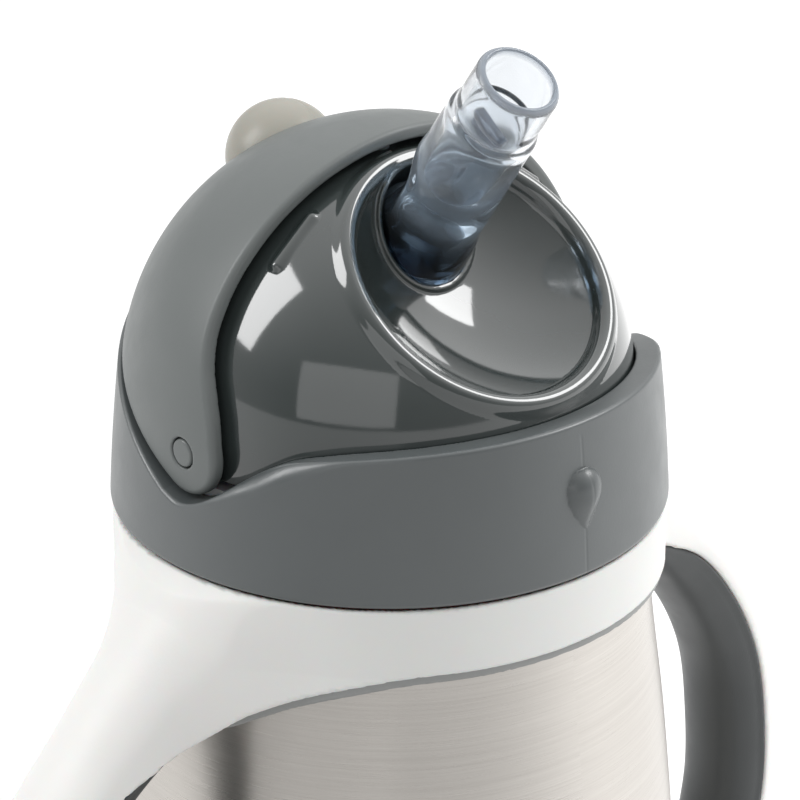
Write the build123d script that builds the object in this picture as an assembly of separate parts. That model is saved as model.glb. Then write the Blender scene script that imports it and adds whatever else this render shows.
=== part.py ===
from build123d import *
import math
import os

# Straw cup for a small child: a double-walled steel body, a white collar with two
# handles, and a screw lid with a turning cover over a folding silicone straw.
# Origin: centre of the foot, on the table. +Z up, -Y is the front, handles on +X and -X.
# All lengths are in millimetres and all angles in degrees.

# ---- driving dimensions ----
RING_Z = 116.0            # lower edge of the lid ring
PIVOT_Z = RING_Z + 16.1   # height of the cover's pivot axis, and of the dome's centre
RING_R = 38.9             # lid ring, outside, at its foot
DOME_R = 33.8             # dome, outside
DOME_WALL = 1.8
COVER_R = 37.0            # cover, outside
COVER_WALL = 2.0
ARM_R = 6.0               # round end of a cover arm, about the pivot
PIN_R = 2.0
PIN_CLEARANCE = 0.06
KNOB_R = 8.0
KNOB_Y = 22.1             # knob centre, from the pivot axis
KNOB_DZ = 26.6
KNOB_SPIGOT_R = 2.4

SKIRT_R = 35.5            # threaded skirt of the dome moulding, outside
SKIRT_TOP_R = 34.5        # the same, where the cover's arms pass outside it
SKIRT_STEP = -9.0         # height of the step between them, from the pivot

DISH_ELEVATION = 49.0     # the dish faces forward and up at this angle
DISH_R = 18.8             # dish, inside its rim
DISH_FLOOR = 18.7         # dish floor, from the dome's centre along the dish axis
DISH_TOP = 27.0           # where the bowl's side stands upright
BOWL = 2.3                # 2 is an elliptical bowl; more makes its floor flatter
RIM_R = 19.5
RIM_H = 26.8
RIM_TUBE = 0.85

STRAW_UP = 10.82          # straw hole, from the dish axis, up the slope
STRAW_TILT = 6.1          # the straw leans back from the dish axis
STRAW_START = 26.0        # where the fold section starts, along the dish axis
STRAW_R = 6.35
STRAW_BORE = 4.3
FOLD_LENGTH = 8.6
MOUTH_LENGTH = 19.56
MOUTH_TIP = 7.7           # slimmer end of the mouthpiece
MOUTH_R = 5.8
SOCKET_R = 10.2
HOLE_R = 7.2
BOSS_R = 9.2
BOSS_TOP = 21.6
BOSS_FOOT = 15.0

VENT_Y = 2.2              # air vent, behind the pivot axis
VENT_R = 0.9

NECK_R = 32.0
NECK_TOP = 8.8            # vessel rim, above the lid ring's lower edge
THREAD_R = 33.2
STEEL = 0.7
COLLAR_R = 38.7
COLLAR_FOOT = -10.2
HANDLE_HALF = 8.0
GRIP_HALF = 7.6
TUBE_R = 3.5
TUBE_BORE = 2.4

os.makedirs("parts", exist_ok=True)


# ---- helpers ----
def turned(*edges):
    """Solid of revolution about Z from edges drawn as (radius, height)."""
    return revolve(make_face(Plane.XZ * Curve(edges)), Axis.Z, 360)


def poly(*points):
    """Closed polygon drawn as (radius, height), turned about Z."""
    return revolve(make_face(Plane.XZ * Polyline(*points, close=True)), Axis.Z, 360)


def side_prism(face, half=60.0):
    """A face drawn as (y, z), extended both ways along X."""
    return extrude(Plane.YZ * face, amount=half, both=True)


def at_pivot(shape):
    return Pos(0, 0, PIVOT_Z) * shape


def at_ring(shape):
    return Pos(0, 0, RING_Z) * shape


def dish_place():
    """Frame at the dome's centre whose z is the dish axis and whose y runs up the slope."""
    a = math.radians(DISH_ELEVATION)
    axis = (0, -math.cos(a), math.sin(a))
    return Plane(origin=(0, 0, PIVOT_Z), x_dir=(1, 0, 0), z_dir=axis).location


def straw_place():
    """Frame on the straw's axis where the fold section starts."""
    return dish_place() * Pos(0, STRAW_UP, STRAW_START) * Rot(-STRAW_TILT, 0, 0)


def bell(points, top, bottom, corner):
    """Filled bell-shaped body: straight bottom, rounded corner, curved side, flat top."""
    wall_r = points[-1][0]
    side = Spline(*points)
    down = Line(points[-1], (wall_r, bottom + corner))
    arc = RadiusArc((wall_r, bottom + corner), (wall_r - corner, bottom), corner)
    floor = Line((wall_r - corner, bottom), (0, bottom))
    axis = Line((0, bottom), (0, top))
    lid = Line((0, top), (points[0][0], top))
    return turned(side, down, arc, floor, axis, lid)


# ---- body ----
def outer_shell():
    """Steel outer wall: a welded lip on the neck, a shoulder and a bell-shaped side."""
    outer = [(32.9, -4.4), (35.4, -6.0), (36.45, -9.0), (36.7, -13.0), (39.3, -35.0),
             (41.3, -58.0), (42.0, -84.0)]
    inner = [(r - STEEL, z - STEEL * 0.6) for r, z in outer]
    body = bell(outer, -4.4, 2.0 - RING_Z, 4.0)
    hollow = bell(inner, -4.4 - STEEL * 0.6, 1.9 - RING_Z, 3.3)
    lip = Pos(0, 0, -5.2) * Cylinder(32.9, 2.2, align=(Align.CENTER, Align.CENTER, Align.MIN))
    neck = Pos(0, 0, -20) * Cylinder(NECK_R, 40, align=(Align.CENTER, Align.CENTER, Align.MIN))
    return at_ring(body + lip - hollow - neck)


def inner_vessel():
    """Steel inner wall with the neck, its rolled rim and the screw thread's ridges."""
    outer = [(NECK_R, -5.4), (32.7, -10.0), (34.2, -20.0), (36.2, -36.0), (38.0, -58.0),
             (38.8, -84.0)]
    inner = [(r - STEEL, z - 0.1) for r, z in outer]
    body = bell(outer, -5.4, 8.0 - RING_Z, 7.0)
    neck = Pos(0, 0, -5.4) * Cylinder(
        NECK_R, NECK_TOP + 5.4, align=(Align.CENTER, Align.CENTER, Align.MIN))
    bore = Pos(0, 0, -6.0) * Cylinder(
        NECK_R - STEEL, 30, align=(Align.CENTER, Align.CENTER, Align.MIN))
    hollow = bell(inner, -5.5, 8.0 + STEEL - RING_Z, 6.3)
    vessel = body + neck - hollow - bore
    for height in (0.9, 3.4, 5.9):
        vessel += poly((NECK_R - 0.1, height - 0.9), (THREAD_R, height - 0.3),
                       (THREAD_R, height + 0.3), (NECK_R - 0.1, height + 0.9))
    return at_ring(vessel)


def base_plate():
    """Steel disc welded into the foot of the outer wall."""
    plate = Pos(0, 0, 2.0) * Cylinder(37.9, 0.8, align=(Align.CENTER, Align.CENTER, Align.MIN))
    dimple = Pos(0, 0, 1.0) * Cylinder(4.0, 3, align=(Align.CENTER, Align.CENTER, Align.MIN))
    return plate - dimple


def seal_cap():
    """Small stepped plug that closes the evacuated wall, in the middle of the base plate."""
    head = Pos(0, 0, 1.4) * Cylinder(6.0, 0.6, align=(Align.CENTER, Align.CENTER, Align.MIN))
    plug = Pos(0, 0, 2.0) * Cylinder(4.0, 1.6, align=(Align.CENTER, Align.CENTER, Align.MIN))
    return head + plug


def base_foot():
    """Soft boot round the foot of the body, with the ring it stands on."""
    return poly((30.0, 0), (42.2, 0), (42.9, 0.7), (42.9, 9.0), (42.1, 9.6), (42.1, 4.0),
                (40.8, 1.9), (30.0, 1.9))


# ---- collar and handles ----
SADDLE = [(-30.0, -10.2), (-24.7, -12.0), (-18.6, -14.5), (-13.8, -17.2), (-7.0, -20.3),
          (0, -20.8)]
SEAM = [(36.0, -19.4), (46.0, -22.0), (55.6, -27.0), (64.3, -37.0), (70.4, -49.4),
        (72.8, -62.0), (72.8, -78.0), (69.4, -89.0), (61.5, -97.5), (51.0, -101.0)]
CROWN = [(36.0, -0.6), (42.5, -2.9), (49.0, -9.0), (60.6, -23.2), (69.6, -35.0),
         (75.6, -48.0), (78.4, -62.0), (78.4, -78.0), (74.2, -92.0), (64.3, -102.4),
         (52.4, -106.6)]
GRIP = [(38.2, -21.5), (44.6, -25.2), (52.0, -31.8), (59.4, -41.0), (64.6, -51.6),
        (66.6, -63.0), (66.6, -77.0), (63.8, -85.6), (58.0, -92.4), (50.2, -95.2)]


def saddle_face(drop):
    """Side view, as (y, z), of what lies above the collar's lower edge."""
    left = [(y, z - drop) for y, z in SADDLE]
    right = [(-y, z) for y, z in reversed(left[:-1])]
    edge = Spline(*(left + right))
    up = Polyline(right[-1], (60, left[0][1]), (60, 40), (-60, 40), (-60, left[0][1]), left[0])
    return make_face(Curve([edge, up]))


def strip(near, far, half, side):
    """A curved bar in the XZ plane between two outlines, half wide each way in Y."""
    a = Spline(*near)
    b = Spline(*far)
    ends = [Line(near[0], far[0]), Line(near[-1], far[-1])]
    face = make_face(Plane.XZ * Curve([a, b] + ends))
    bar = extrude(face, amount=half, both=True)
    return bar if side > 0 else mirror(bar, Plane.YZ)


def rounded(bar, radius, outer):
    """Round the two long edges that follow one outline of a bar."""
    curved = bar.edges().filter_by(GeomType.BSPLINE).sort_by(SortBy.LENGTH)
    chosen = curved[-2:] if outer else curved[:2]
    return fillet(chosen, radius)


def handle_frame():
    """White moulding: the collar that the lid clamps down, and both handles' outer half."""
    ring = poly((33.3, -0.3), (38.2, -0.3), (COLLAR_R, -0.8), (COLLAR_R, COLLAR_FOOT),
                (37.7, COLLAR_FOOT), (37.7, -6.2), (36.6, -5.4), (34.8, -4.0), (33.3, -3.6))
    skirt = poly((37.9, -8.0), (COLLAR_R, -8.0), (COLLAR_R, -10.2), (39.9, -22.5),
                 (39.0, -22.5), (37.9, -10.2))
    frame = ring + (skirt & side_prism(saddle_face(0)))
    core = Pos(0, 0, -60) * Cylinder(38.4, 60, align=(Align.CENTER, Align.CENTER, Align.MIN))
    for side in (1, -1):
        bar = rounded(strip(SEAM, CROWN, HANDLE_HALF, side), 4.5, True)
        frame += bar - core
    return at_ring(frame)


def collar_liner():
    """Soft grey band inside the collar; its lower lip shows under the white edge."""
    band = poly((36.95, -7.4), (37.7, -7.4), (37.7, -10.2), (38.3, -10.2), (38.3, -11.2),
                (37.1, -11.2))
    skirt = poly((37.0, -10.2), (37.88, -10.2), (38.95, -22.5), (38.95, -24.0), (38.25, -24.0),
                 (37.0, -11.0))
    liner = at_ring(band + (skirt & side_prism(saddle_face(1.1))))
    return liner - handle_frame()


def grip(side):
    """Soft grey inner half of one handle, moulded onto the white half."""
    bar = rounded(strip(SEAM, GRIP, GRIP_HALF, side), 3.6, False)
    core = Pos(0, 0, -60) * Cylinder(39.9, 60, align=(Align.CENTER, Align.CENTER, Align.MIN))
    return at_ring(bar - core)


# ---- lid ----
RING_EDGE = [(-38.0, 5.75), (-29.0, 5.0), (-19.2, 3.45), (-15.4, 2.3), (-12.5, 0.65),
             (-9.6, -1.55), (-6.9, -3.8), (-3.6, -5.75), (-0.3, -6.65), (2.95, -5.9)]
COVER_EDGE = [(-5.94, 0.835), (-5.2, 5.5), (-4.1, 8.6), (-2.6, 12.0), (-1.6, 15.4),
              (-1.2, 20.0), (-1.3, 26.0), (-2.4, 36.9)]
REAR_SLOPE = 0.5
COVER_DROP = ARM_R * math.hypot(1, REAR_SLOPE)
RING_DROP = 6.6 * math.hypot(1, REAR_SLOPE)


def pointer():
    """Raised drop on the front of the ring, round at the top and pointed below."""
    low = (Align.CENTER, Align.CENTER, Align.MIN)
    tail = Pos(0, 0, -5.5) * Cone(0.3, 2.76, 4.8, align=low)
    drop = scale(Sphere(2.85) + tail, by=(1, 0.42, 1))
    return at_ring(Pos(0, -37.9, 12.5) * Rot(-4, 0, 0) * drop)


def lid_ring():
    """Grey outer ring of the lid, cut on top to the path of the turning cover."""
    foot = ThreePointArc((37.9, 0), (38.61, 0.29), (RING_R, 1.0))
    side = ThreePointArc((RING_R, 1.0), (38.1, 12.0), (36.2, 28.5))
    step = PIVOT_Z - RING_Z + SKIRT_STEP
    rest = Polyline((36.2, 28.5), (SKIRT_TOP_R, 28.5), (SKIRT_TOP_R, step), (SKIRT_R, step),
                    (SKIRT_R, 0), (37.9, 0))
    body = at_ring(turned(foot, side, rest))
    edge = Spline(*RING_EDGE, tangents=[(1, 0), (1, REAR_SLOPE)])
    far = 45.0
    above = Polyline(RING_EDGE[-1], (far, REAR_SLOPE * far - RING_DROP), (far, far),
                     (-far, far), (-far, RING_EDGE[0][1]), RING_EDGE[0])
    body -= at_pivot(side_prism(make_face(Curve([edge, above]))))
    return body + pointer()


def dish(rim_r, floor):
    """Bowl-shaped cutter about the dish axis, with a nearly flat floor and upright rim."""
    points = []
    for step in range(13):
        a = math.radians(90 * step / 12)
        across = rim_r * math.sin(a) ** (2 / BOWL)
        down = (DISH_TOP - floor) * max(math.cos(a), 0) ** (2 / BOWL)
        points.append((across, DISH_TOP - down))
    bowl = Spline(*points, tangents=[(1, 0), (0, 1)])
    rest = Polyline((rim_r, DISH_TOP), (rim_r, 45.0), (0, 45.0), (0, floor))
    return dish_place() * turned(bowl, rest)


def detent(side):
    """Raised rib that the cover's arm snaps over when it is open."""
    a = Vector(side * 16.9, -3.6, 28.6)
    b = Vector(side * 23.0, -3.9, 23.9)
    rib = Plane(origin=a, z_dir=b - a).location * Cylinder(
        1.1, (b - a).length, align=(Align.CENTER, Align.CENTER, Align.MIN))
    return at_pivot(rib + Pos(*a) * Sphere(1.1) + Pos(*b) * Sphere(1.1))


def dome():
    """Glossy moulding: dome, scooped dish, straw hole, and the skirt that holds the thread."""
    outside = turned(
        ThreePointArc((0, DOME_R), (DOME_R * math.sin(math.radians(45)),
                                    DOME_R * math.sin(math.radians(45))), (DOME_R, 0)),
        Polyline((DOME_R, 0), (DOME_R, -3.1), (SKIRT_TOP_R, -3.1), (SKIRT_TOP_R, SKIRT_STEP),
                 (SKIRT_R, SKIRT_STEP), (SKIRT_R, -15.5), (33.7, -15.5), (33.7, -5.1),
                 (0, -5.1), (0, DOME_R)))
    inner = DOME_R - DOME_WALL
    inside = turned(
        ThreePointArc((0, inner), (inner * math.sin(math.radians(45)),
                                   inner * math.sin(math.radians(45))), (inner, 0)),
        Polyline((inner, 0), (inner, -3.1), (30.4, -3.1), (30.4, -6.0), (0, -6.0), (0, inner)))
    backing = dish(DISH_R + DOME_WALL, DISH_FLOOR - DOME_WALL)
    body = at_pivot(outside) - (at_pivot(inside) - backing)
    body -= dish(DISH_R, DISH_FLOOR)
    low = (Align.CENTER, Align.CENTER, Align.MIN)
    boss = Pos(0, STRAW_UP, BOSS_FOOT) * Cylinder(BOSS_R, BOSS_TOP - BOSS_FOOT, align=low)
    hole = Pos(0, STRAW_UP, BOSS_FOOT - 3) * Cylinder(HOLE_R, 11.0, align=low)
    body += dish_place() * boss
    body += dish_place() * Pos(0, 0, RIM_H) * Torus(RIM_R, RIM_TUBE)
    body -= dish_place() * hole
    body -= dish_place() * Pos(0, STRAW_UP, BOSS_TOP) * Cylinder(8.0, 5.0, align=low)
    for side in (1, -1):
        body += detent(side)
        boss_disc = Cylinder(3.0, 3.0, align=low)
        body += at_pivot(Rot(0, side * 90, 0) * Pos(0, 0, 31.5) * boss_disc)
        pin_hole = Cylinder(PIN_R + 0.02, 20, align=low)
        body -= at_pivot(Rot(0, side * 90, 0) * Pos(0, 0, 25) * pin_hole)
    vent_hole = Pos(0, VENT_Y, 30) * Cylinder(VENT_R + 0.05, 6, align=low)
    return body - at_pivot(vent_hole)


def vent_valve():
    """Silicone air valve in the top of the dome: a head outside and a barb inside."""
    low = (Align.CENTER, Align.CENTER, Align.MIN)
    head = Pos(0, VENT_Y, DOME_R) * Cylinder(VENT_R + 0.6, 0.6, align=low)
    stem = Pos(0, VENT_Y, 31.4) * Cylinder(VENT_R, 2.6, align=low)
    barb = Pos(0, VENT_Y, 30.6) * Cylinder(VENT_R + 0.5, 1.2, align=low)
    return at_pivot(head + stem + barb)


def lid_gasket():
    """Silicone ring under the dome's web, squeezed onto the vessel's rim."""
    return at_ring(poly((30.6, 9.1), (33.4, 9.1), (33.4, 10.7), (30.6, 10.7)))


def cover_side_face():
    """Side view, as (y, z), of the space that the open cover fills."""
    far = 45.0
    tip = (REAR_SLOPE * COVER_DROP / (1 + REAR_SLOPE ** 2), -COVER_DROP / (1 + REAR_SLOPE ** 2))
    a = math.radians(215)
    arc = ThreePointArc(tip, (ARM_R * math.cos(a), ARM_R * math.sin(a)), COVER_EDGE[0])
    front = Spline(*COVER_EDGE, tangents=[(0.139, 0.990), (-0.1, 1)])
    back = Polyline(COVER_EDGE[-1], (-2.6, far), (far, far),
                    (far, REAR_SLOPE * far - COVER_DROP), tip)
    return make_face(Curve([arc, front, back]))


def cover():
    """Part-sphere cover with two arms, turning on the pins; the knob's hole is at the back."""
    shell = Sphere(COVER_R) - Sphere(COVER_R - COVER_WALL)
    shell = shell & side_prism(cover_side_face())
    low = (Align.CENTER, Align.CENTER, Align.MIN)
    pin_hole = Cylinder(PIN_R + PIN_CLEARANCE, 20, align=low)
    for side in (1, -1):
        shell -= Rot(0, side * 90, 0) * Pos(0, 0, 25) * pin_hole
    shell -= knob_axis() * Pos(0, 0, 30) * Cylinder(KNOB_SPIGOT_R, 20, align=low)
    return at_pivot(shell)


def knob_axis():
    """Radial frame through the knob, its z pointing outward from the dome's centre."""
    return Plane(origin=(0, 0, 0), x_dir=(1, 0, 0), z_dir=(0, KNOB_Y, KNOB_DZ)).location


def knob():
    """Ball-shaped thumb knob, seated on the cover by a spigot."""
    low = (Align.CENTER, Align.CENTER, Align.MIN)
    ball = Pos(0, KNOB_Y, KNOB_DZ) * Sphere(KNOB_R) - Sphere(COVER_R)
    spigot = Pos(0, 0, COVER_R - COVER_WALL + 0.1) * Cylinder(KNOB_SPIGOT_R, 3.0, align=low)
    return at_pivot(ball + knob_axis() * spigot)


def pivot_pin(side):
    """Pin through a cover arm into the dome, with a flat head inside the dome."""
    low = (Align.CENTER, Align.CENTER, Align.MIN)
    shaft = Pos(0, 0, 31.0) * Cylinder(PIN_R, 5.8, align=low)
    shaft = chamfer(shaft.edges().sort_by(Axis.Z)[-1], 0.3)
    head = Pos(0, 0, 30.2) * Cylinder(2.8, 1.0, align=low)
    return at_pivot(Rot(0, side * 90, 0) * (shaft + head))


# ---- straw ----
def straw_base():
    """Silicone foot of the straw: a flange under the dish, a stem and the bulb above it."""
    outline = Polyline((STRAW_BORE, 13.0), (9.0, 13.0), (9.0, 14.9), (HOLE_R - 0.05, 14.9),
                       (HOLE_R - 0.05, 21.8), (7.6, 22.2), (7.6, 23.8), (STRAW_R, 25.2),
                       (STRAW_R, 28.0), (STRAW_BORE, 28.0), close=True)
    ring = dish_place() * Pos(0, STRAW_UP, 0) * revolve(make_face(Plane.XZ * outline), Axis.Z, 360)
    above = Box(40, 40, 20, align=(Align.CENTER, Align.CENTER, Align.MIN))
    return ring - straw_place() * above


def straw_fold():
    """Thin-walled section that pinches shut when the straw is folded down."""
    tube = poly((STRAW_BORE, 0.1), (STRAW_R, 0.1), (STRAW_R - 0.2, FOLD_LENGTH / 2),
                (STRAW_R, FOLD_LENGTH), (STRAW_BORE, FOLD_LENGTH))
    return straw_place() * tube


def straw_mouthpiece():
    """Upper straw: a full-width length, a step and the slimmer drinking end."""
    step = MOUTH_LENGTH - MOUTH_TIP
    tube = poly((4.5, 0), (STRAW_R, 0), (STRAW_R, step - 0.6), (MOUTH_R, step),
                (MOUTH_R, MOUTH_LENGTH - 0.6), (MOUTH_R - 0.5, MOUTH_LENGTH),
                (4.8, MOUTH_LENGTH), (4.5, MOUTH_LENGTH - 0.4))
    return straw_place() * Pos(0, 0, FOLD_LENGTH) * tube


def straw_valve():
    """Slit diaphragm inside the mouthpiece, which stops drips between sips."""
    low = (Align.CENTER, Align.CENTER, Align.MIN)
    disc = Cylinder(4.5, 0.8, align=low) - Box(5.0, 0.2, 4.0)
    cup = Cylinder(4.5, 2.4, align=low) - Cylinder(3.9, 2.4, align=low)
    return straw_place() * Pos(0, 0, FOLD_LENGTH + 10.4) * (disc + cup)


def straw_socket():
    """Hard insert under the dish that clamps the straw's flange and takes the dip tube."""
    low = (Align.CENTER, Align.CENTER, Align.MIN)
    cup = Pos(0, 0, 8.0) * Cylinder(SOCKET_R, 8.4, align=low)
    pocket = Pos(0, 0, 12.9) * Cylinder(9.3, 10, align=low)
    spout = Pos(0, 0, 4.0) * Cylinder(4.6, 4.1, align=low)
    bore = Pos(0, 0, 0) * Cylinder(TUBE_R, 20, align=low)
    return dish_place() * Pos(0, STRAW_UP, 0) * (cup + spout - pocket - bore)


def dip_tube():
    """Silicone tube from the socket down to just above the vessel's floor."""
    place = dish_place() * Pos(0, STRAW_UP, 0)
    top = (place * Pos(0, 0, 7.6)).position
    bend = (place * Pos(0, 0, -3.6)).position
    foot = Vector(0, bend.Y, 12.5)
    path = FilletPolyline(top, bend, foot, radius=12.0)
    section = Plane(origin=top, z_dir=bend - top) * (Circle(TUBE_R - 0.05) - Circle(TUBE_BORE))
    return sweep(section, path)


PARTS = {
    "outer_shell": outer_shell,
    "inner_vessel": inner_vessel,
    "base_plate": base_plate,
    "seal_cap": seal_cap,
    "base_foot": base_foot,
    "handle_frame": handle_frame,
    "collar_liner": collar_liner,
    "grip_left": lambda: grip(-1),
    "grip_right": lambda: grip(1),
    "lid_ring": lid_ring,
    "dome": dome,
    "vent_valve": vent_valve,
    "lid_gasket": lid_gasket,
    "cover": cover,
    "knob": knob,
    "pivot_pin_left": lambda: pivot_pin(-1),
    "pivot_pin_right": lambda: pivot_pin(1),
    "straw_base": straw_base,
    "straw_fold": straw_fold,
    "straw_mouthpiece": straw_mouthpiece,
    "straw_valve": straw_valve,
    "straw_socket": straw_socket,
    "dip_tube": dip_tube,
}

for name, make in PARTS.items():
    export_step(make(), f"parts/{name}.step")
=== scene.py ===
"""Looks for the straw cup: steel body, white collar with two handles, and a screw lid
with a turning cover over a folding silicone straw. Lengths are in millimetres until
a mesh is made."""
import math
import bpy
import numpy as np
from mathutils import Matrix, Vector


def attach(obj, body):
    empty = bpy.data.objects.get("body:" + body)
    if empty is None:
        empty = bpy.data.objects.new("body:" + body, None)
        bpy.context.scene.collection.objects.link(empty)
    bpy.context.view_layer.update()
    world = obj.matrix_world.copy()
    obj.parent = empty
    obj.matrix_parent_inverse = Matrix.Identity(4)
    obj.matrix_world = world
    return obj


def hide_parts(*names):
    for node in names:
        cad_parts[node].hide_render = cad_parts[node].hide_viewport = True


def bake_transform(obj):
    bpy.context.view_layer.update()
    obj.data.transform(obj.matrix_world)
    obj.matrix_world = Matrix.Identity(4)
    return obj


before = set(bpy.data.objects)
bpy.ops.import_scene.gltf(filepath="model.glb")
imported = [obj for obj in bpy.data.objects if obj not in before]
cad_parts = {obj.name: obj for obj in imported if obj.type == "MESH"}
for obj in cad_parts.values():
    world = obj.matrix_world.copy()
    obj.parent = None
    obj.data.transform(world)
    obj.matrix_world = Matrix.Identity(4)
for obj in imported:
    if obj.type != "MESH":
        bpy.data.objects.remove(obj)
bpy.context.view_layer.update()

RING_Z = 116.0                # lower edge of the lid ring
PIVOT_Z = 132.1               # the cover's pivot axis, and the dome's centre
DOME_R = 33.8
COVER_R = 37.0
COVER_WALL = 2.0
DISH_TILT = math.radians(49.0)
DISH_R = 18.8
DISH_DEPTH = 7.5
DISH_CURVE = (DISH_R**2 + DISH_DEPTH**2) / (2 * DISH_DEPTH)   # radius of the round bowl
DISH_TOP = 27.0               # height of the dish's edge along its axis
STRAW_UP = 10.82              # straw hole, from the dish axis, up the slope
STRAW_START = 26.0            # start of the straw's fold, along the dish axis
STRAW_TILT = math.radians(6.1)
COLLAR_R = 38.9               # where the lid ring ends and the handles' slope starts
BORE_R = 34.0                 # inside of the lid ring
KNOB_R = 8.0


# ---- curves, fields and surfaces ----
def curve(points, count):
    """Smooth curve through the points, sampled evenly along its length."""
    p = np.array(points, float)
    t = np.concatenate([[0], np.cumsum(np.linalg.norm(np.diff(p, axis=0), axis=1))])
    m = np.gradient(p, t, axis=0)
    fine = np.linspace(0, t[-1], 2000)
    i = np.clip(np.searchsorted(t, fine) - 1, 0, len(t) - 2)
    h = (t[i + 1] - t[i])[:, None]
    s = (fine - t[i])[:, None] / h
    q = ((2 * s**3 - 3 * s**2 + 1) * p[i] + (s**3 - 2 * s**2 + s) * h * m[i]
         + (3 * s**2 - 2 * s**3) * p[i + 1] + (s**3 - s**2) * h * m[i + 1])
    d = np.concatenate([[0], np.cumsum(np.linalg.norm(np.diff(q, axis=0), axis=1))])
    want = np.linspace(0, d[-1], count)
    return np.stack([np.interp(want, d, q[:, k]) for k in range(q.shape[1])], 1)


class Field:
    """Signed distance to a closed outline in a plane, negative inside it."""

    def __init__(self, outline, lo, hi, step=0.25):
        self.lo, self.step = np.array(lo, float), step
        n = [int(math.ceil((hi[k] - lo[k]) / step)) + 1 for k in (0, 1)]
        gx, gy = np.meshgrid(*[lo[k] + step * np.arange(n[k]) for k in (0, 1)], indexing="ij")
        a = np.array(outline, float)
        b = np.roll(a, -1, axis=0)
        best = np.full(gx.shape, 1e9)
        inside = np.zeros(gx.shape, bool)
        for (ax, ay), (bx, by) in zip(a, b):
            dx, dy = bx - ax, by - ay
            t = ((gx - ax) * dx + (gy - ay) * dy) / max(dx * dx + dy * dy, 1e-12)
            t = np.clip(t, 0, 1)
            best = np.minimum(best, (gx - ax - t * dx) ** 2 + (gy - ay - t * dy) ** 2)
            if ay != by:
                inside ^= ((ay > gy) != (by > gy)) & (gx < dx * (gy - ay) / dy + ax)
        self.v = np.sqrt(best) * np.where(inside, -1, 1)

    def __call__(self, x, y):
        fx = np.clip((x - self.lo[0]) / self.step, 0, self.v.shape[0] - 1.001)
        fy = np.clip((y - self.lo[1]) / self.step, 0, self.v.shape[1] - 1.001)
        i, j = fx.astype(int), fy.astype(int)
        s, t, v = fx - i, fy - j, self.v
        return ((v[i, j] * (1 - s) + v[i + 1, j] * s) * (1 - t)
                + (v[i, j + 1] * (1 - s) + v[i + 1, j + 1] * s) * t)


def both(a, b, r):
    """What lies in both shapes, with the edge between them rounded to r."""
    return np.minimum(-r, np.maximum(a, b)) + np.hypot(np.maximum(r + a, 0), np.maximum(r + b, 0))


def either(a, b, r):
    """The two shapes together, with the corner between them filled to r."""
    return np.maximum(r, np.minimum(a, b)) - np.hypot(np.maximum(r - a, 0), np.maximum(r - b, 0))


def smooth(lo, hi, v):
    t = np.clip((v - lo) / (hi - lo), 0, 1)
    return t * t * (3 - 2 * t)


def gradient(f, p, e=0.02):
    g = np.empty_like(p)
    for k in range(3):
        d = np.zeros(3)
        d[k] = e
        g[:, k] = (f(p + d) - f(p - d)) / (2 * e)
    return g


def surface(f, lo, hi, step):
    """Vertices, quads and normals of the surface where f, a signed distance, is 0."""
    lo, hi = np.array(lo, float), np.array(hi, float)
    n = np.ceil((hi - lo) / step).astype(int) + 2
    block, reach = 12, 12 * step * 0.87 * 2.2
    v = np.full(n, 1e3, np.float32)
    for bx in range(0, n[0], block):
        for by in range(0, n[1], block):
            bz = np.arange(0, n[2], block)
            mid = np.stack(np.broadcast_arrays(bx, by, bz), 1) + block / 2
            near = f(lo + mid * step)
            for z0, value in zip(bz, near):
                x1, y1, z1 = (min(b + block, m) for b, m in zip((bx, by, z0), n))
                if abs(value) > reach:
                    v[bx:x1, by:y1, z0:z1] = value
                    continue
                g = np.stack(np.meshgrid(np.arange(bx, x1), np.arange(by, y1),
                                         np.arange(z0, z1), indexing="ij"), -1)
                v[bx:x1, by:y1, z0:z1] = f(lo + g.reshape(-1, 3) * step).reshape(g.shape[:3])
    inside = v < 0
    cells = np.zeros(n - 1, np.int8)
    corners = [(i, j, k) for i in (0, 1) for j in (0, 1) for k in (0, 1)]

    def corner(a, c):
        return a[tuple(slice(c[k], n[k] - 1 + c[k]) for k in range(3))]

    for c in corners:
        cells += corner(inside, c)
    cut = np.argwhere((cells > 0) & (cells < 8))
    index = np.full(n - 1, -1, np.int64)
    index[tuple(cut.T)] = np.arange(len(cut))
    total, hits = np.zeros((len(cut), 3)), np.zeros(len(cut))
    for a in corners:
        for k in range(3):
            if a[k]:
                continue
            b = list(a)
            b[k] = 1
            va = v[tuple((cut + a).T)].astype(float)
            vb = v[tuple((cut + b).T)].astype(float)
            cross = (va < 0) != (vb < 0)
            t = np.where(cross, va / np.where(cross, va - vb, 1), 0)
            where = np.array(a, float) + t[:, None] * (np.array(b) - np.array(a))
            total += np.where(cross[:, None], where, 0)
            hits += cross
    p = lo + (cut + total / hits[:, None]) * step
    for _ in range(4):
        g = gradient(f, p)
        move = f(p)[:, None] * g / np.maximum((g * g).sum(1), 0.05)[:, None]
        p -= np.clip(move, -0.4 * step, 0.4 * step)
    g = gradient(f, p, 0.04)
    quads = []
    for k in range(3):
        i, j = (k + 1) % 3, (k + 2) % 3
        here, there = [slice(1, m - 1) for m in n], [slice(1, m - 1) for m in n]
        here[k], there[k] = slice(0, n[k] - 1), slice(1, n[k])
        change = inside[tuple(here)] != inside[tuple(there)]
        at = np.argwhere(change)
        at[:, i] += 1
        at[:, j] += 1
        first = inside[tuple(at.T)]
        ring = []
        for di, dj in ((1, 1), (0, 1), (0, 0), (1, 0)):
            c = at.copy()
            c[:, i] -= di
            c[:, j] -= dj
            ring.append(index[tuple(c.T)])
        q = np.stack(ring, 1)
        q[~first] = q[~first][:, ::-1]
        quads.append(q)
    return p, np.concatenate(quads), g / np.maximum(np.linalg.norm(g, axis=1), 1e-9)[:, None]


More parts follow.
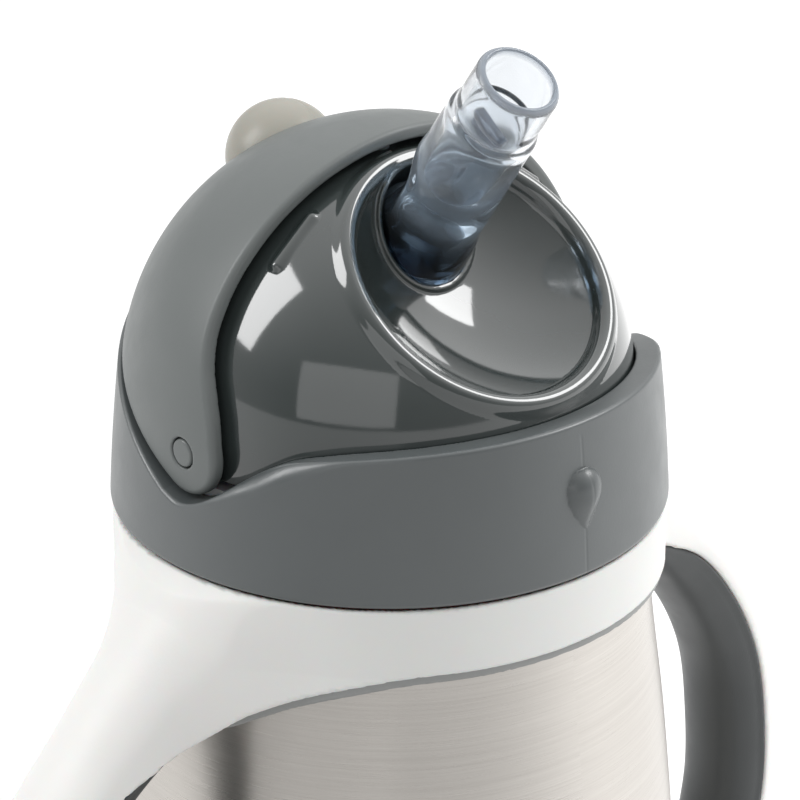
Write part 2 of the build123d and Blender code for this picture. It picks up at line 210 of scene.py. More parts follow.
def mesh(name, verts, faces, body, material, stands_for, normals=None):
    """A piece made from millimetre vertices, riding on a body in place of CAD nodes."""
    data = bpy.data.meshes.new(name)
    data.from_pydata((np.asarray(verts) * 0.001).tolist(), [], np.asarray(faces).tolist()
                     if isinstance(faces, np.ndarray) else faces)
    data.validate()
    data.polygons.foreach_set("use_smooth", np.ones(len(data.polygons), bool))
    if normals is not None:
        data.normals_split_custom_set_from_vertices(np.asarray(normals).tolist())
    data.materials.append(material)
    piece = bpy.data.objects.new(name, data)
    bpy.context.scene.collection.objects.link(piece)
    if body:
        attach(piece, body)
    if stands_for:
        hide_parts(*stands_for)
    return piece


def carved(name, f, lo, hi, step, body, material, stands_for, slot, lift=0.0):
    """A piece whose skin is where f is 0; f's own heights are measured from lift."""
    p, quads, normals = surface(f, lo, hi, step)
    return mesh(name, p + [0, 0, lift], quads, body, material, stands_for, normals)


def lathe(profile, turns=192):
    """Closed skin of a (radius, height) loop turned about Z."""
    p = np.array(profile, float)
    a = np.linspace(0, 2 * math.pi, turns, endpoint=False)
    verts = np.stack([np.outer(p[:, 0], np.cos(a)), np.outer(p[:, 0], np.sin(a)),
                      np.repeat(p[:, 1:], turns, 1)], -1).reshape(-1, 3)
    faces = []
    for i in range(len(p)):
        k = (i + 1) % len(p)
        for j in range(turns):
            m = (j + 1) % turns
            faces.append((i * turns + j, i * turns + m, k * turns + m, k * turns + j))
    return verts, faces


def softened(points, radius, steps=6):
    """A closed loop of points with each corner replaced by a small arc."""
    out, n = [], len(points)
    for i in range(n):
        a, b, c = (np.array(points[k % n][:2], float) for k in (i - 1, i, i + 1))
        r = points[i][2] if len(points[i]) > 2 else radius
        la, lc = np.linalg.norm(a - b), np.linalg.norm(c - b)
        u, w = (a - b) / la, (c - b) / lc
        r = min(r, 0.45 * la, 0.45 * lc)
        for s in np.linspace(0, 1, steps + 1):
            out.append(b + u * r * (1 - s) ** 2 + w * r * s**2)
    return out


def along(points, gap):
    """The loop with points added so that no step is longer than gap."""
    out = []
    for i, a in enumerate(points):
        b = points[(i + 1) % len(points)]
        a, b = np.array(a, float), np.array(b, float)
        k = max(1, int(math.ceil(np.linalg.norm(b - a) / gap)))
        out += [a + (b - a) * j / k for j in range(k)]
    return out


# ---- materials ----
class Nodes:
    """Small helper that builds one material's node tree."""

    def __init__(self, name):
        self.mat = bpy.data.materials.new(name)
        self.mat.use_nodes = True
        self.tree = self.mat.node_tree
        self.shader = self.tree.nodes["Principled BSDF"]
        self.place = self.add("ShaderNodeTexCoord").outputs["Object"]

    def add(self, kind, **settings):
        node = self.tree.nodes.new(kind)
        for key, value in settings.items():
            setattr(node, key, value)
        return node

    def link(self, out, socket):
        self.tree.links.new(out, socket)

    def noise(self, scale, detail=3.0, rough=0.55, vector=None, stretch=None):
        v = vector or self.place
        if stretch:
            m = self.add("ShaderNodeMapping")
            m.inputs["Scale"].default_value = stretch
            self.link(v, m.inputs["Vector"])
            v = m.outputs["Vector"]
        n = self.add("ShaderNodeTexNoise")
        n.inputs["Scale"].default_value = scale
        n.inputs["Detail"].default_value = detail
        n.inputs["Roughness"].default_value = rough
        self.link(v, n.inputs["Vector"])
        return n.outputs["Fac"]

    def span(self, out, lo, hi, a=0.3, b=0.7):
        m = self.add("ShaderNodeMapRange")
        m.inputs["From Min"].default_value = a
        m.inputs["From Max"].default_value = b
        m.inputs["To Min"].default_value = lo
        m.inputs["To Max"].default_value = hi
        self.link(out, m.inputs["Value"])
        return m.outputs["Result"]

    def blend(self, fac, one, two):
        m = self.add("ShaderNodeMix", data_type="RGBA")
        self.link(fac, m.inputs["Factor"])
        for value, key in ((one, 6), (two, 7)):
            if isinstance(value, tuple):
                m.inputs[key].default_value = (*value, 1)
            else:
                self.link(value, m.inputs[key])
        return m.outputs[2]

    def math(self, op, a, b=None):
        m = self.add("ShaderNodeMath", operation=op)
        for value, k in ((a, 0), (b, 1)):
            if value is None:
                continue
            if isinstance(value, (int, float)):
                m.inputs[k].default_value = value
            else:
                self.link(value, m.inputs[k])
        return m.outputs[0]

    def bump(self, height, distance, strength=1.0, after=None):
        b = self.add("ShaderNodeBump")
        b.inputs["Distance"].default_value = distance
        b.inputs["Strength"].default_value = strength
        self.link(height, b.inputs["Height"])
        if after:
            self.link(after, b.inputs["Normal"])
        return b.outputs["Normal"]

    def put(self, **sockets):
        names = {"color": "Base Color", "rough": "Roughness", "normal": "Normal",
                 "metal": "Metallic", "ior": "IOR", "spec": "Specular IOR Level",
                 "coat": "Coat Weight", "coat_rough": "Coat Roughness",
                 "sss": "Subsurface Weight", "sss_scale": "Subsurface Scale",
                 "glass": "Transmission Weight", "aniso": "Anisotropic",
                 "aniso_turn": "Anisotropic Rotation", "sheen": "Sheen Weight"}
        for key, value in sockets.items():
            s = self.shader.inputs[names[key]]
            if isinstance(value, bpy.types.NodeSocket):
                self.link(value, s)
            elif isinstance(value, tuple):
                s.default_value = (*value, 1)
            else:
                s.default_value = value
        return self.mat


def moulded(name, dark, light, rough, grain=0.000012, grain_scale=2600, sss=0.0, spec=0.5,
            coat=0.0, drift=60, ior=1.5):
    """Moulded plastic or rubber: slow drift of tone, fine grain, uneven gloss."""
    n = Nodes(name)
    slow = n.noise(drift, 4.0)
    fine = n.noise(grain_scale, 2.0)
    wavy = n.noise(220, 3.0)
    normal = n.bump(fine, grain)
    return n.put(color=n.blend(n.span(slow, 0, 1), dark, light),
                 rough=n.span(wavy, rough[0], rough[1]),
                 normal=n.bump(wavy, 0.00002, 0.3, normal), spec=spec, sss=sss,
                 sss_scale=0.002, coat=coat, coat_rough=0.08, ior=ior)


def brushed(name):
    """Steel brushed round the body: fine lines along the turn, faint blotches."""
    n = Nodes(name)
    parts = n.add("ShaderNodeSeparateXYZ")
    n.link(n.place, parts.inputs[0])
    turn = n.math("ARCTAN2", parts.outputs["X"], parts.outputs["Y"])
    joined = n.add("ShaderNodeCombineXYZ")
    n.link(n.math("MULTIPLY", turn, 0.036), joined.inputs["X"])
    n.link(parts.outputs["Z"], joined.inputs["Z"])
    v = joined.outputs[0]
    lines = n.noise(1.0, 4.0, 0.7, v, (90, 1, 9000))
    long = n.noise(1.0, 3.0, 0.6, v, (14, 1, 2600))
    blotch = n.noise(40, 3.0, 0.5, v)
    tone = n.math("ADD", n.math("MULTIPLY", lines, 0.6), n.math("MULTIPLY", long, 0.4))
    colour = n.blend(n.span(tone, 0, 1), (0.55, 0.52, 0.485), (0.69, 0.66, 0.62))
    rough = n.math("ADD", n.span(lines, 0.24, 0.38), n.span(blotch, -0.02, 0.03))
    normal = n.bump(long, 0.00003, 0.5, n.bump(lines, 0.000012, 0.8))
    return n.put(color=colour, rough=rough, normal=normal, metal=1.0, aniso=0.75, aniso_turn=0.25)


def silicone(name):
    """Milky silicone, clearest near the mouth and slate lower down; painted light pales its tint
    along the middle, and painted shade darkens its blue tint to deep blue at its foot.
    """
    n = Nodes(name)
    at = n.add("ShaderNodeAttribute", attribute_name="along").outputs["Fac"]
    wavy = n.noise(300, 3.0)
    # Blue-grey tint along the straw: painted shade makes it deep blue at the foot, and painted
    # light makes it paler from 6 to 15 mm up.
    tone = n.blend(n.span(at, 0, 1, -3.2, 4.5), (0.022, 0.037, 0.058), (0.67, 0.81, 0.95))
    tone = n.blend(n.span(at, 0, 1, 6.0, 15.0), tone, (0.86, 0.89, 0.92))
    tone = n.blend(n.span(at, 0, 1, 27.0, 28.0), tone, (0.50, 0.56, 0.64))
    milk = n.math("SUBTRACT", n.span(at, 0.0, 0.13, -3.0, 5.0), n.span(at, 0, 0.095, 8.0, 16.0))
    milk = n.math("ADD", milk, n.span(at, 0, 0.45, 27.0, 27.9))
    milk = n.math("ADD", milk, n.span(wavy, -0.01, 0.02))
    return n.put(color=tone, rough=n.span(wavy, 0.05, 0.10), ior=1.41,
                 normal=n.bump(n.noise(180, 2.0), 0.00004, 0.5),
                 glass=n.math("SUBTRACT", 1.0, milk))


def film(name):
    """Clear cone of the valve with a slate-blue slit bill."""
    n = Nodes(name)
    bill = n.add("ShaderNodeAttribute", attribute_name="bill").outputs["Fac"]
    wavy = n.noise(400, 3.0)
    slate = n.blend(n.span(wavy, 0, 1), (0.16, 0.20, 0.27), (0.22, 0.27, 0.34))
    return n.put(color=n.blend(bill, (0.93, 0.95, 0.97), slate), rough=n.span(wavy, 0.08, 0.16),
                 ior=1.41, glass=n.span(bill, 0.96, 0.45, 0, 1))


RING_GREY = moulded("ring_grey", (0.086, 0.097, 0.099), (0.094, 0.106, 0.108), (0.30, 0.37),
                    spec=0.95)
COVER_GREY = moulded("cover_grey", (0.140, 0.153, 0.151), (0.150, 0.163, 0.161), (0.36, 0.44))
DOME_GREY = moulded("dome_grey", (0.036, 0.045, 0.044), (0.041, 0.051, 0.050), (0.05, 0.09),
                    grain=0.000002, coat=1.0, ior=1.7)
KNOB_WARM = moulded("knob_warm", (0.330, 0.318, 0.275), (0.355, 0.343, 0.300), (0.28, 0.38),
                    sss=0.1)
PIN_GREY = moulded("pin_grey", (0.140, 0.153, 0.151), (0.150, 0.163, 0.161), (0.28, 0.36))
WHITE = moulded("white_plastic", (0.83, 0.825, 0.805), (0.85, 0.845, 0.825), (0.38, 0.48),
                sss=0.15, spec=0.35)
GRIP_GREY = moulded("grip_grey", (0.046, 0.051, 0.052), (0.053, 0.058, 0.060), (0.34, 0.44),
                    grain=0.00002, grain_scale=4200)
LINER_GREY = moulded("liner_grey", (0.31, 0.315, 0.31), (0.33, 0.335, 0.33), (0.42, 0.55),
                     grain=0.00002, grain_scale=4200)
SOFT_WHITE = moulded("silicone_white", (0.66, 0.67, 0.67), (0.70, 0.71, 0.71), (0.35, 0.50),
                     sss=0.2)
SOCKET = moulded("socket_grey", (0.30, 0.31, 0.31), (0.33, 0.34, 0.34), (0.35, 0.45))
STEEL = brushed("brushed_steel")
# Straw silicone whose tint holds painted light and painted shade along its length.
STRAW_TINT_PAINTED_LIGHT_AND_SHADE = silicone("straw_clear")
FILM = film("straw_film")

# ---- side-view outlines ----
RING_EDGE = [(-38.0, 5.75), (-29.0, 5.0), (-19.2, 3.45), (-15.4, 2.3), (-12.5, 0.65),
             (-9.6, -1.55), (-6.9, -3.8), (-3.6, -5.75), (-0.3, -6.65), (2.95, -5.9)]
COVER_EDGE = [(-5.94, 0.835), (-5.2, 5.5), (-4.1, 8.6), (-2.6, 12.0), (-1.6, 15.4),
              (-1.2, 20.0), (-1.3, 26.0), (-2.4, 36.9)]
SADDLE = [(-42.0, -9.7), (-36.0, -9.9), (-30.0, -10.4), (-24.7, -12.0), (-18.6, -14.5),
          (-13.8, -17.2), (-9.5, -19.7), (-5.0, -20.9), (0, -21.2)]
SEAM = [(36.0, -19.4), (46.0, -22.0), (55.6, -27.0), (64.3, -37.0), (70.4, -49.4),
        (72.8, -62.0), (72.8, -78.0), (69.4, -89.0), (61.5, -97.5), (51.0, -101.0)]
CROWN = [(36.0, -0.6), (42.5, -2.9), (49.0, -9.0), (60.6, -23.2), (69.6, -35.0),
         (75.5, -48.0), (78.2, -62.0), (78.2, -78.0), (74.1, -92.0), (64.3, -102.4),
         (52.4, -106.6)]
GRIP = [(38.2, -21.5), (44.6, -25.2), (52.0, -31.8), (59.4, -41.0), (64.6, -51.6),
        (66.6, -63.0), (66.6, -77.0), (63.8, -85.6), (58.0, -92.4), (50.2, -95.2)]
FAR = 60.0                    # how far an outline runs past the part

edge = curve(RING_EDGE, 160).tolist()
RING_TOP = Field(edge + [(FAR, edge[-1][1] + 0.5 * (FAR - edge[-1][0])), (FAR, -FAR),
                         (-FAR, -FAR), (-FAR, edge[0][1])], (-46, -24), (46, 24))

front = curve(COVER_EDGE, 120).tolist()
arm = [(6 * math.cos(a), 6 * math.sin(a)) for a in np.radians(np.linspace(296.565, 172, 60))]
COVER_SIDE = Field(front + [(-2.6, FAR), (FAR, FAR), (FAR, 0.5 * FAR - 6.708)] + arm[:-1],
                   (-14, -10), (42, 42))

left = curve(SADDLE, 120)
saddle = left.tolist() + [(-y, z) for y, z in left[::-1][1:]]
SADDLE_TOP = Field(saddle + [(FAR, left[0][1]), (FAR, FAR), (-FAR, FAR), (-FAR, left[0][1])],
                   (-44, -60), (44, 6))

HANDLE_BOX = ((26, -116), (86, 6))
seam = curve(SEAM, 160).tolist()
crown = curve(CROWN, 160).tolist()
grip = curve(GRIP, 160).tolist()
SEAM_IN = Field([(-30, -14), (20, -16.5)] + seam + [(20, -111), (-30, -124)], *HANDLE_BOX)
CROWN_IN = Field([(-30, 6), (20, 1.4)] + crown + [(20, -119), (-30, -136)], *HANDLE_BOX)
GRIP_IN = Field([(-30, -14), (20, -16.5)] + grip + [(20, -104), (-30, -118)], *HANDLE_BOX)


def arc_radius(low, mid, high):
    """Radius against height on the circle through three (radius, height) points."""
    (x1, y1), (x2, y2), (x3, y3) = low, mid, high
    a = np.array([[x2 - x1, y2 - y1], [x3 - x1, y3 - y1]])
    b = 0.5 * np.array([x2**2 - x1**2 + y2**2 - y1**2, x3**2 - x1**2 + y3**2 - y1**2])
    cx, cy = np.linalg.solve(a, b)
    r = math.hypot(x1 - cx, y1 - cy)
    return lambda z: cx + np.sqrt(np.maximum(r * r - (z - cy) ** 2, 0))


RING_SIDE = arc_radius((38.9, -15.1), (38.1, -4.1), (36.2, 12.4))


# ---- lid ----
def teardrop(x, y, z):
    """Height of the raised drop on the front of the ring."""
    w = z + 4.95
    top = np.sqrt(np.clip(1 - ((w - 1.4) / 2.9) ** 2, 0, 1))
    low = np.cos(np.clip((1.4 - w) / 5.6, 0, 1) * math.pi / 2) ** 0.85
    half = 3.05 * np.where(w > 1.4, top, low) + 1e-4
    t = np.abs(x) / half
    power = 1.15 + 0.9 * smooth(-2.5, 2.6, w)
    tall = 1.9 * smooth(-5.0, 1.0, w)
    tall = tall * np.sqrt(np.clip(1 - np.maximum(w - 1.4, 0) ** 2 / 8.7, 0, 1))
    return np.where((t < 1) & (y < 0), tall * (1 - np.clip(t, 0, 1) ** power) ** 0.75, 0)


def ring_field(p):
    x, y, z = p.T
    r = np.hypot(x, y)
    line = 0.035 * np.exp(-(x / 0.16) ** 2) * (y < 0) * smooth(4.5, 3.0, z)
    outer = r - RING_SIDE(z) - teardrop(x, y, z) + line
    top = RING_TOP(y, z)
    crest = 0.5 + 2.2 * smooth(28, 35, np.abs(x)) * smooth(-5, -13, y)
    body = both(outer, top, crest)
    bore = BORE_R - np.where(z > 0, np.linalg.norm(p, axis=1), r)
    body = both(body, bore, 0.35)
    return both(body, -16.1 - z, 0.9)


def dish_frame(p):
    """(sideways, up the slope, along the dish's axis) of a point."""
    x, y, z = p.T
    s, c = math.sin(DISH_TILT), math.cos(DISH_TILT)
    return x, y * s + z * c, -y * c + z * s


def capsule(p, a, b, r):
    a, b = np.array(a, float), np.array(b, float)
    t = np.clip((p - a) @ (b - a) / ((b - a) @ (b - a)), 0, 1)
    return np.linalg.norm(p - a - t[:, None] * (b - a), axis=1) - r


def dome_field(p):
    x, u, h = dish_frame(p)
    r = np.hypot(x, u)
    ball = np.linalg.norm(p, axis=1) - DOME_R
    hollow = np.hypot(r, h - DISH_TOP + DISH_DEPTH - DISH_CURVE) - DISH_CURVE
    body = both(ball, -hollow, 0.3)
    rim = np.hypot(r - 19.35, h - 26.7) - 1.15
    body = either(body, rim, 1.1)
    rb = np.hypot(x, u - STRAW_UP + 0.3)
    lip = both(rb - 8.2, -0.75 - hollow, 0.3)
    body = either(body, both(lip, 16.0 - h, 0.2), 0.5)
    hole = both(rb - 7.4, 19.0 - h, 0.1)
    body = both(body, -hole, 0.2)
    side = np.stack([np.abs(x), p[:, 1], p[:, 2]], 1)
    body = either(body, capsule(side, (16.9, -3.6, 28.8), (23.2, -3.9, 24.0), 0.95), 0.5)
    return both(body, -3.9 - p[:, 2], 0.2)


def cover_field(p):
    x, y, z = p.T
    r = np.linalg.norm(p, axis=1)
    side = COVER_SIDE(y, z)
    body = both(r - COVER_R, side, 0.85)
    body = both(body, COVER_R - COVER_WALL - r, 0.5)
    pin = 2.16 - np.hypot(y, z)
    return both(body, np.where(np.abs(x) > 20, pin, -9), 0.25)


KNOB = np.array([0, 22.1, 26.6])


def knob_field(p):
    ball = np.linalg.norm(p - KNOB, axis=1)
    groove = 0.07 * np.exp(-((p[:, 0] - 2.2) / 0.22) ** 2)
    return both(ball - KNOB_R + groove, 36.0 - np.linalg.norm(p, axis=1), 0.1)


def pin_field(p):
    x, y, z = p.T
    q = np.hypot(y, z)
    return both(both(q - 1.95, np.linalg.norm(p, axis=1) - 37.0, 0.35), 31.0 - np.abs(x), 0.1)


LID_BOX = ((-40.5, -41, -17), (40.5, 40.5, 13))
carved("lid_ring", ring_field, *LID_BOX, 0.3, "lid", RING_GREY, ["lid_ring"], "ring_grey", PIVOT_Z)
carved("dome", dome_field, (-36, -36, -5), (36, 36, 36), 0.3, "lid", DOME_GREY, ["dome"],
       "dome_grey", PIVOT_Z)
carved("cover", cover_field, (-38, -8, -8), (38, 38, 38), 0.4, "cover", COVER_GREY, ["cover"],
       "cover_grey", PIVOT_Z)
carved("knob", knob_field, (-9, 13, 17), (9, 32, 36), 0.4, "cover", KNOB_WARM, ["knob"],
       "knob_warm", PIVOT_Z)
for side, sign in (("left", -1), ("right", 1)):
    carved("pivot_pin_" + side, pin_field, (min(30 * sign, 38 * sign), -3, -3),
           (max(30 * sign, 38 * sign), 3, 3), 0.2, "lid", PIN_GREY, ["pivot_pin_" + side],
           "pin_grey", PIVOT_Z)


# ---- collar and handles ----
def wall(z):
    """Outer radius of the collar against height."""
    return 38.7 + np.maximum(-10.2 - z, 0) * 0.0976


def ending(x, z, at, turn):
    """How far a point lies past the free end of a handle."""
    return (x - at[0]) * math.cos(turn) + (z - at[1]) * math.sin(turn)


def frame_field(p):
    x, y, z = np.abs(p[:, 0]), p[:, 1], p[:, 2]
    r = np.hypot(x, y)
    a, b = SEAM_IN(x, z), -CROWN_IN(x, z)
    thick = np.maximum(a + b, 1.0)
    half = 7.9 + 3.4 * smooth(58, 38, x) - 0.6 * smooth(-60, -95, z)
    t = a / thick
    bar = (np.hypot(np.maximum(t, 0), y / half) - 1) * np.minimum(thick, 9.0)
    bar = both(bar, -a, 0.5)
    bar = both(bar, np.where(z < -80, ending(x, z, (52.5, -103.5), math.radians(198)), -9), 2.2)
    tube = both(r - wall(z), -28 - z, 0.1)
    blend = np.where(x > 20, 9.0, 0.4)
    body = either(tube, bar, blend)
    fall = np.interp(x, [38.7, 46.0, 50.0, 55.6], [0, 1.8, 3.6, 6.8])
    low = SADDLE_TOP(y, z + fall) - 30 * smooth(49, 56, x)
    body = both(body, np.where(z > -45, low, -9), 0.45)
    body = both(body, np.maximum(wall(z) - 1.0 - r, np.where(z > -5, 33.5 - r, -9)), 0.1)
    top = z + 0.3 + np.maximum(r - COLLAR_R, 0)
    soft = 0.35 + 4.5 * smooth(COLLAR_R, 43, r)
    return both(body, np.where(r < COLLAR_R, top, top / 1.414), soft)


def liner_field(p):
    x, y, z = np.abs(p[:, 0]), p[:, 1], p[:, 2]
    r = np.hypot(x, y)
    body = both(r - wall(z) + 0.45, wall(z) - 1.75 - r, 0.3)
    body = both(body, SADDLE_TOP(y, z + 1.15), 0.35)
    return both(body, z + 7.0, 0.1)


def grip_field(p):
    x, y, z = np.abs(p[:, 0]), p[:, 1], p[:, 2]
    a, c = -SEAM_IN(x, z), GRIP_IN(x, z)
    thick = np.maximum(a + c, 1.0)
    half = 7.9 - 0.6 * smooth(-60, -95, z) - 0.35 * smooth(0.0, 0.25, a / thick)
    t = a / thick
    bar = (np.hypot(np.maximum(t, 0) ** 1.15, y / half) - 1) * np.minimum(thick, 7.0)
    bar = both(bar, -a + 0.02, 0.45)
    bar = both(bar, np.where(z < -80, ending(x, z, (51.5, -98.0), math.radians(198)), -9), 2.2)
    return both(bar, 40.0 - np.hypot(x, y), 0.4)


carved("handle_frame", frame_field, (-80, -40.5, -108), (80, 40.5, 1), 0.6, "cup", WHITE,
       ["handle_frame"], "white_plastic", RING_Z)
carved("collar_liner", liner_field, (-41, -40, -25), (41, 40, -6), 0.5, "cup", LINER_GREY,
       ["collar_liner"], "liner_grey", RING_Z)
carved("grip_right", grip_field, (37, -9, -105), (76, 9, -18), 0.45, "cup", GRIP_GREY,
       ["grip_right"], "grip_grey", RING_Z)
carved("grip_left", grip_field, (-76, -9, -105), (-37, 9, -18), 0.45, "cup", GRIP_GREY,
       ["grip_left"], "grip_grey", RING_Z)

# ---- steel body and foot ----
SHELL_SIDE = [(35.4, -6.0), (36.45, -9.0), (36.7, -13.0), (39.3, -35.0), (41.3, -58.0),
              (42.0, -84.0), (42.0, -108.0)]
side_out = curve(SHELL_SIDE, 70)
side_in = side_out - [0.7, 0]
shell = ([(32.1, -4.4), (33.6, -4.5)] + side_out.tolist() + [(41.2, -111.4), (38.8, -113.6),
         (38.2, -114.0), (38.0, -113.2), (40.6, -111.0), (41.3, -108.0)]
         + side_in[::-1][1:].tolist() + [(33.0, -5.2), (32.1, -5.2)])
verts, faces = lathe(shell, 256)
mesh("outer_shell", verts + [0, 0, RING_Z], faces, "cup", STEEL, ["outer_shell"])
foot = along(softened([(30.2, 0.0, 0.3), (42.2, 0.0, 0.7), (42.9, 1.0, 0.5), (42.8, 9.3, 0.4),
                       (42.15, 9.55, 0.1), (42.15, 4.0, 0.2), (40.8, 1.9, 0.2),
                       (30.2, 1.9, 0.3)], 0.3), 0.8)
verts, faces = lathe(foot, 192)
mesh("base_foot", verts, faces, "cup", LINER_GREY, ["base_foot"])


# ---- straw ----
def straw_points(verts):
    """Places points given about the straw's own axis, whose zero is the fold's start."""
    v = np.array(verts, float)
    s, c = math.sin(STRAW_TILT), math.cos(STRAW_TILT)
    v = np.stack([v[:, 0], v[:, 1] * c + v[:, 2] * s, -v[:, 1] * s + v[:, 2] * c], 1)
    v = v + [0, STRAW_UP, STRAW_START]
    s, c = math.sin(DISH_TILT), math.cos(DISH_TILT)
    return np.stack([v[:, 0], v[:, 1] * s - v[:, 2] * c, v[:, 1] * c + v[:, 2] * s + PIVOT_Z], 1)


OUT = [(7.15, -6.6, 0.3), (7.2, -4.6, 0.4), (7.2, -2.6, 1.0), (7.05, -0.7, 1.2), (6.7, 1.0, 1.2),
       (6.75, 3.2, 1.5), (6.75, 6.5, 1.5), (6.45, 12.0, 1.5), (6.35, 19.6, 0.7), (5.85, 20.5, 0.6),
       (5.8, 27.5, 0.6), (5.2, 28.16, 0.35)]
IN = [(4.8, 28.1, 0.3), (4.65, 27.4, 0.4), (4.55, 20.4, 0.6), (4.95, 17.4, 0.8), (4.8, 12.0, 1.5),
      (4.6, 8.0, 1.5), (2.9, 4.2, 1.0), (4.4, 1.4, 1.2), (4.6, -6.5, 0.3)]
verts, faces = lathe(along(softened(OUT + IN, 0.5), 0.4), 128)
verts[:, 0] -= 0.35 * smooth(-2.5, 1.5, verts[:, 2]) * smooth(13, 6, verts[:, 2])
# The back is flattened at the fold, so that the folded straw clears the closed cover.
fold = smooth(-2.0, 1.0, verts[:, 2]) * smooth(10.0, 5.0, verts[:, 2])
verts[:, 1] -= 1.9 * smooth(1.0, 6.0, verts[:, 1]) * fold
# The tube takes the straw silicone, with painted light and shade in its tint.
tube = mesh("straw_tube", straw_points(verts), faces, None, STRAW_TINT_PAINTED_LIGHT_AND_SHADE,
            ["straw_base", "straw_fold", "straw_mouthpiece"])
tube.data.attributes.new("along", "FLOAT", "POINT").data.foreach_set(
    "value", verts[:, 2].astype(np.float32))
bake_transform(tube)


def valve_field(p):
    """Cone of thin film with a flat-sided bill that holds the slit, along the slope."""
    x, y, z = p.T
    r = np.hypot(x, y)
    cone = both(np.abs(z - 18.6 - 0.3 * (r - 3.0)) - 0.3, r - 4.45, 0.15)
    bill = both(both(np.abs(x) - 0.7, np.abs(y) - 2.8, 0.4), np.abs(z - 17.9) - 1.5, 0.4)
    return either(cone, bill, 0.4)


p, quads, normals = surface(valve_field, (-5, -5, 15.5), (5, 5, 20.5), 0.2)
turned = straw_points(normals) - straw_points([(0, 0, 0)])
valve = mesh("straw_valve", straw_points(p), quads, "straw", FILM, ["straw_valve"],
             turned)
bill = smooth(1.0, 0.75, np.abs(p[:, 0])) * smooth(3.1, 2.85, np.abs(p[:, 1]))
valve.data.attributes.new("bill", "FLOAT", "POINT").data.foreach_set(
    "value", bill.astype(np.float32))

# ---- nodes shown as they are ----
PLAIN = {"inner_vessel": STEEL, "base_plate": STEEL, "seal_cap": STEEL, "vent_valve": SOFT_WHITE,
         "lid_gasket": SOFT_WHITE, "straw_socket": SOCKET, "dip_tube": SOFT_WHITE}
for name, material in PLAIN.items():
    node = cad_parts[name]
    node.data.materials.clear()
    node.data.materials.append(material)
    node.data.polygons.foreach_set("use_smooth", np.ones(len(node.data.polygons), bool))


# ---- studio ----
def plane(name, corners, material):
    data = bpy.data.meshes.new(name)
    data.from_pydata(corners, [], [(0, 1, 2, 3)])
    data.materials.append(material)
    piece = bpy.data.objects.new(name, data)
    bpy.context.scene.collection.objects.link(piece)


# Horizontal directions towards the camera and to its right.
FRONT = (-0.673, -0.739)
SIDE = (0.739, -0.673)
# Brightness in front of the part, behind it, to its right and to its left.
FLOOR_LIGHT = (0.72, 1.2, 1.12, 0.84)
SKY_LIGHT = (0.27, 0.80, 1.04, 0.66)


def lit_by_side(tree, vector, front, behind, right, left):
    """Brightness that changes with the horizontal direction of a vector."""
    parts = tree.nodes.new("ShaderNodeSeparateXYZ")
    tree.links.new(vector, parts.inputs[0])

    def combine(op, a, b):
        m = tree.nodes.new("ShaderNodeMath")
        m.operation = op
        for k, value in enumerate((a, b)):
            if isinstance(value, (int, float)):
                m.inputs[k].default_value = value
            else:
                tree.links.new(value, m.inputs[k])
        return m.outputs[0]

    def ramp(direction, lo, hi, start=-0.75, end=0.75):
        part = combine("ADD", combine("MULTIPLY", parts.outputs["X"], direction[0]),
                       combine("MULTIPLY", parts.outputs["Y"], direction[1]))
        m = tree.nodes.new("ShaderNodeMapRange")
        m.interpolation_type = "SMOOTHSTEP"
        m.inputs["From Min"].default_value, m.inputs["From Max"].default_value = start, end
        m.inputs["To Min"].default_value, m.inputs["To Max"].default_value = lo, hi
        tree.links.new(part, m.inputs["Value"])
        return m.outputs["Result"]

    return combine("MULTIPLY", ramp(FRONT, behind, front, -0.1, 0.95), ramp(SIDE, left, right))


floor = bpy.data.materials.new("floor")
floor.use_nodes = True
glow = floor.node_tree.nodes.new("ShaderNodeEmission")
place = floor.node_tree.nodes.new("ShaderNodeTexCoord").outputs["Object"]
unit = floor.node_tree.nodes.new("ShaderNodeVectorMath")
unit.operation = "NORMALIZE"
floor.node_tree.links.new(place, unit.inputs[0])
floor.node_tree.links.new(lit_by_side(floor.node_tree, unit.outputs[0], *FLOOR_LIGHT),
                          glow.inputs["Strength"])
floor.node_tree.links.new(glow.outputs[0],
                          floor.node_tree.nodes["Material Output"].inputs["Surface"])
plane("floor", [(-6, -6, 0), (6, -6, 0), (6, 6, 0), (-6, 6, 0)], floor)

CAMERA = Vector((-0.30635, -0.33854, 0.33252))
TARGET = Vector((0.001064, -0.000969, 0.12870))
cam = bpy.data.objects.new("camera", bpy.data.cameras.new("camera"))
cam.data.lens = 162.66
cam.data.sensor_width = 36
cam.data.clip_start, cam.data.clip_end = 0.01, 50
cam.location = CAMERA
cam.rotation_euler = (TARGET - CAMERA).to_track_quat("-Z", "Y").to_euler()
bpy.context.scene.collection.objects.link(cam)
bpy.context.scene.camera = cam


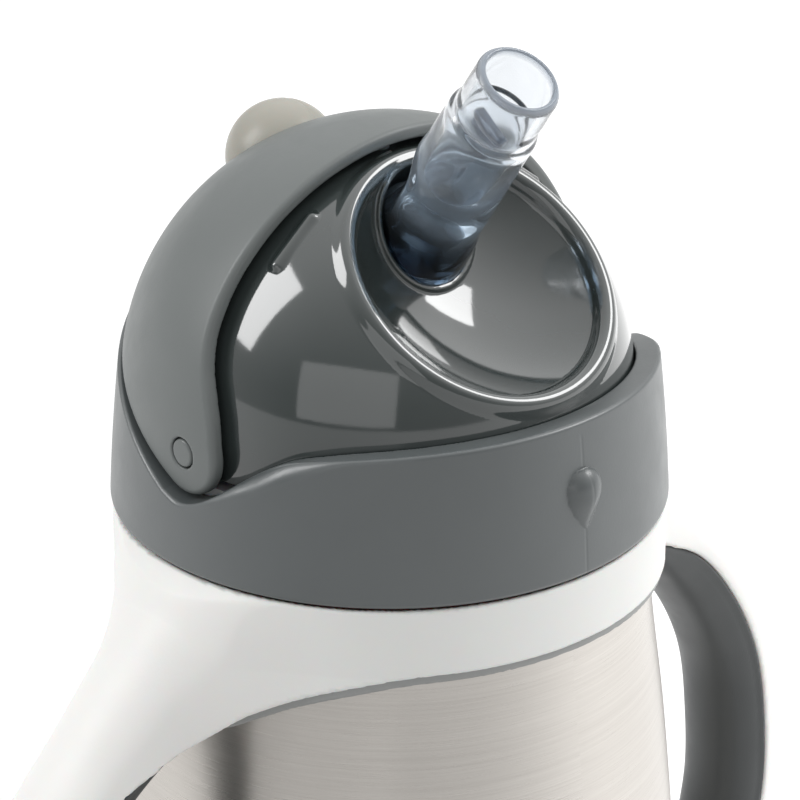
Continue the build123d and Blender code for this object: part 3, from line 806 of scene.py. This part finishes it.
def lamp(name, azimuth, elevation, size, power, distance=1.2, aim=(0, 0, 0.13)):
    """Soft box at an azimuth measured from the front (-Y) towards +X."""
    a, e = math.radians(azimuth), math.radians(elevation)
    light = bpy.data.lights.new(name, "AREA")
    light.shape = "RECTANGLE"
    light.size, light.size_y = size
    light.energy = power
    lit = bpy.data.objects.new(name, light)
    away = Vector((math.sin(a) * math.cos(e), -math.cos(a) * math.cos(e), math.sin(e)))
    lit.location = Vector(aim) + away * distance
    lit.rotation_euler = (-away).to_track_quat("-Z", "Y").to_euler()
    bpy.context.scene.collection.objects.link(lit)


def box_power(radiance, size):
    return radiance * math.pi * size[0] * size[1]


BOXES = [("key_left", -126, 35, (0.46, 0.70), 5.2), ("key_right", 60, 44, (0.50, 0.46), 6.0),
         ("fill_left", -62, 14, (1.0, 0.55), 0.75)]
for name, azimuth, elevation, size, radiance in BOXES:
    lamp(name, azimuth, elevation, size, box_power(radiance, size))

world = bpy.data.worlds.new("studio")
world.use_nodes = True
bpy.context.scene.world = world
tree = world.node_tree
sky = tree.nodes["Background"]
sky.inputs["Color"].default_value = (1, 1, 1, 1)
direction = tree.nodes.new("ShaderNodeTexCoord").outputs["Generated"]
height = tree.nodes.new("ShaderNodeSeparateXYZ")
tree.links.new(direction, height.inputs[0])
overhead = tree.nodes.new("ShaderNodeMapRange")
overhead.interpolation_type = "SMOOTHSTEP"
overhead.inputs["From Min"].default_value, overhead.inputs["From Max"].default_value = 0.12, 0.70
overhead.inputs["To Min"].default_value, overhead.inputs["To Max"].default_value = 1.0, 1.8
tree.links.new(height.outputs["Z"], overhead.inputs["Value"])
total = tree.nodes.new("ShaderNodeMath")
total.operation = "MULTIPLY"
tree.links.new(lit_by_side(tree, direction, *SKY_LIGHT), total.inputs[0])
tree.links.new(overhead.outputs["Result"], total.inputs[1])
tree.links.new(total.outputs[0], sky.inputs["Strength"])

scene = bpy.context.scene
scene.view_settings.view_transform = "Standard"
scene.cycles.max_bounces = 16
scene.cycles.transmission_bounces = 14
scene.cycles.transparent_max_bounces = 12
